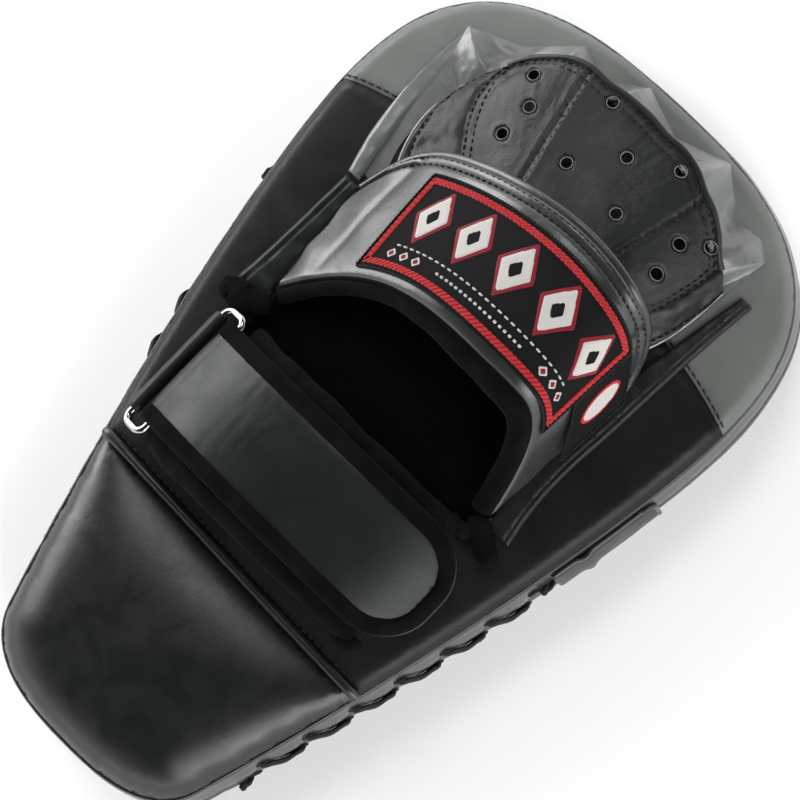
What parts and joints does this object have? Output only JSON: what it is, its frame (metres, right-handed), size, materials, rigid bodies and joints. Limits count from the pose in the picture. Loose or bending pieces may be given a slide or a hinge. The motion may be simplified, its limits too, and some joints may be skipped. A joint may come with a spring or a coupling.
{
  "type": "long focus mitt",
  "caption": "Long flat focus mitt with a tapered padded body, laced side walls, a padded hand band, a perforated finger cover and a hook-and-loop wrist strap on a ring.",
  "frame": {"origin": "middle of the flat strike face, at the bottom centre of the bounding box", "axes": "+Z out of the back, towards the glove; +Y towards the finger end; +X towards the steep side of the hand band"},
  "size_m": [0.2094, 0.345, 0.0962],
  "materials": {
    "black_leather": "smooth semi-gloss leather",
    "pale_leather": "glossy grey-black leather",
    "satin_leather": "satin leather",
    "velour": "short-pile velour",
    "hook_and_loop": "hook-and-loop fastener",
    "lace": "flat woven lace",
    "label": "embroidered patch with a red border",
    "foam": "closed-cell foam",
    "chrome": "polished wire"
  },
  "bodies": {
    "pad": {"strike_cover": "black_leather", "front_gusset": "black_leather", "rear_gusset": "black_leather", "slit_tongue": "velour", "strike_foam": "foam", "core_foam": "foam", "top_panel": "pale_leather", "middle_panel": "satin_leather", "cushion_cover": "black_leather", "cushion_foam": "foam", "cushion_piping": "black_leather", "pocket_strip": "pale_leather", "lace_right": "lace", "lace_left": "lace", "lace_knot_right_upper": "lace", "lace_knot_right_lower": "lace", "lace_knot_left_upper": "lace", "lace_knot_left_lower": "lace", "gusset_flap": "black_leather", "hand_band": "black_leather", "band_lining": "velour", "opening_rim": "velour", "label_patch": "label", "side_tag": "label", "finger_cover": "black_leather", "finger_cover_side_left": "black_leather", "finger_cover_side_right": "black_leather", "finger_pocket": "pale_leather", "flange_left": "black_leather", "flange_right": "black_leather", "end_tab_left": "velour", "end_tab_right": "velour", "glove_base_lining": "velour", "wrist_cuff": "velour", "loop_pad": "hook_and_loop", "ring_keeper": "black_leather"},
    "ring": {"ring": "chrome", "strap_fold": "black_leather"},
    "strap_flap": {"strap_flap": "black_leather", "strap_binding": "velour", "hook_pad": "hook_and_loop"}
  },
  "joints": [
    {"name": "ring_pivot", "type": "hinge", "parent": "pad", "child": "ring", "pos_m": [-0.0675, -0.035, 0.0524], "axis": [0, -1, 0], "range_deg": [0, 30]},
    {"name": "strap_flap_hinge", "type": "hinge", "parent": "ring", "child": "strap_flap", "pos_m": [-0.0573, -0.034, 0.0619], "axis": [0, -1, 0], "range_deg": [0, 110]}
  ]
}
